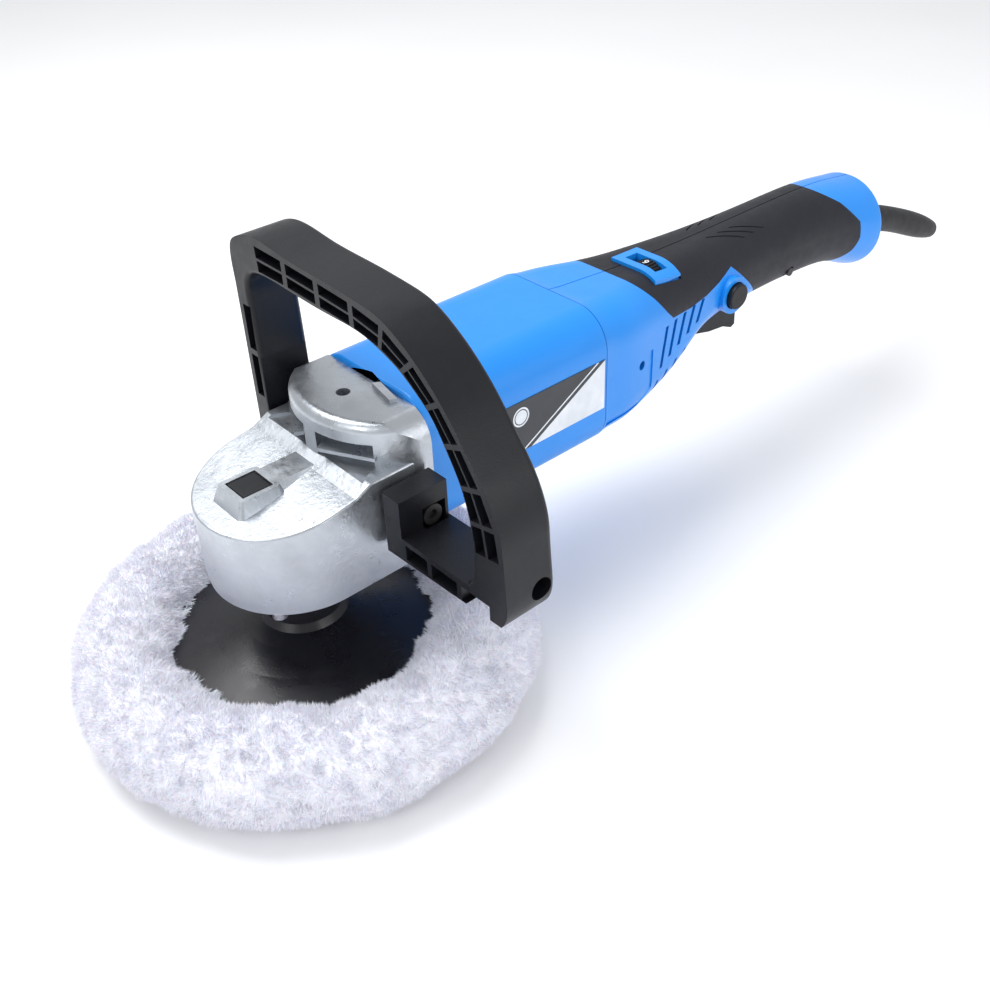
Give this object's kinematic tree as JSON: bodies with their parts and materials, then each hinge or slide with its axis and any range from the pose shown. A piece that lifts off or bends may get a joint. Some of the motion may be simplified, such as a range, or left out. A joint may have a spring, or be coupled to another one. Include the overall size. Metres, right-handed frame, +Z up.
{
  "type": "rotary polisher",
  "caption": "Corded rotary polisher with a loop front handle, slim rear grip, cast gearbox and a wool bonnet on a backing pad.",
  "frame": {"origin": "spindle axis at the bonnet's working face", "axes": "+Z up along the spindle, +X towards the rear handle, -Y the operator's left, where the lock-on button is"},
  "size_m": [0.6553, 0.239, 0.2161],
  "materials": {
    "cast_aluminium": "satin",
    "steel": "satin",
    "black_plastic": "satin",
    "blue_plastic": "satin",
    "soft_grip": "matte",
    "black_rubber": "matte",
    "wool": "matte",
    "copper_wire": "satin",
    "lamination": "satin",
    "bronze": "satin",
    "carbon": "matte",
    "label_foil": "gloss"
  },
  "bodies": {
    "spindle_group": {"spindle": "steel", "crown_gear": "steel", "gear_retaining_ring": "steel", "backing_pad": "black_plastic", "pad_hub_insert": "steel", "wool_bonnet": "wool"},
    "armature": {"pinion": "steel", "armature_shaft": "steel", "cooling_fan": "black_plastic", "armature_core": "lamination", "armature_windings": "copper_wire", "commutator": "bronze"},
    "lock_button": {"spindle_lock_button": "black_plastic", "spindle_lock_pin": "steel"},
    "trigger_body": {"trigger": "black_plastic"},
    "lock_on_body": {"lock_on_button": "black_plastic"},
    "dial_wheel": {"speed_dial": "black_plastic"},
    "housing": {"bearing_cover": "cast_aluminium", "brush_holders": "bronze", "brush_springs": "steel", "carbon_brushes": "carbon", "cord_clamp": "black_plastic", "cord_clamp_screws": "steel", "cover_screws": "steel", "d_handle": "black_plastic", "dial_bezel": "blue_plastic", "exhaust_louvres": "cast_aluminium", "fan_baffle": "black_plastic", "front_motor_bearing": "steel", "gearbox_housing": "cast_aluminium", "grip_overmould_left": "soft_grip", "grip_overmould_right": "soft_grip", "handle_bolts": "steel", "handle_washers": "steel", "housing_screws": "steel", "motor_housing": "blue_plastic", "rating_label": "label_foil", "rear_housing_left": "blue_plastic", "rear_housing_right": "blue_plastic", "rear_motor_bearing": "steel", "speed_control_module": "black_plastic", "spindle_bearing": "steel", "stator_core": "lamination", "stator_windings": "copper_wire", "strain_relief": "black_rubber", "switch_body": "black_plastic", "trigger_spring": "steel", "upper_spindle_bush": "bronze"}
  },
  "joints": [
    {"name": "spindle_spin", "type": "hinge", "parent": "housing", "child": "spindle_group", "pos_m": [0, 0, 0.06], "axis": [0, 0, 1], "continuous": true},
    {"name": "armature_spin", "type": "hinge", "parent": "housing", "child": "armature", "pos_m": [0.1, 0, 0.1135], "axis": [1, 0, 0], "continuous": true},
    {"name": "spindle_lock", "type": "slide", "parent": "housing", "child": "lock_button", "axis": [0, 0, -1], "range_m": [0, 0.0028], "stiffness_N_per_m": 300},
    {"name": "trigger_press", "type": "slide", "parent": "housing", "child": "trigger_body", "axis": [0, 0, 1], "range_m": [0, 0.0038], "stiffness_N_per_m": 400, "deforming": ["trigger_spring"]},
    {"name": "lock_on_press", "type": "slide", "parent": "housing", "child": "lock_on_body", "axis": [0, 1, 0], "range_m": [0, 0.003], "stiffness_N_per_m": 300},
    {"name": "speed_dial_turn", "type": "hinge", "parent": "housing", "child": "dial_wheel", "pos_m": [0.231, -0.008, 0.1367], "axis": [1, 0, 0], "range_deg": [-120, 120]}
  ],
  "couplings": [
    {"joint": "armature_spin", "follows": "spindle_spin", "ratio": 6}
  ]
}
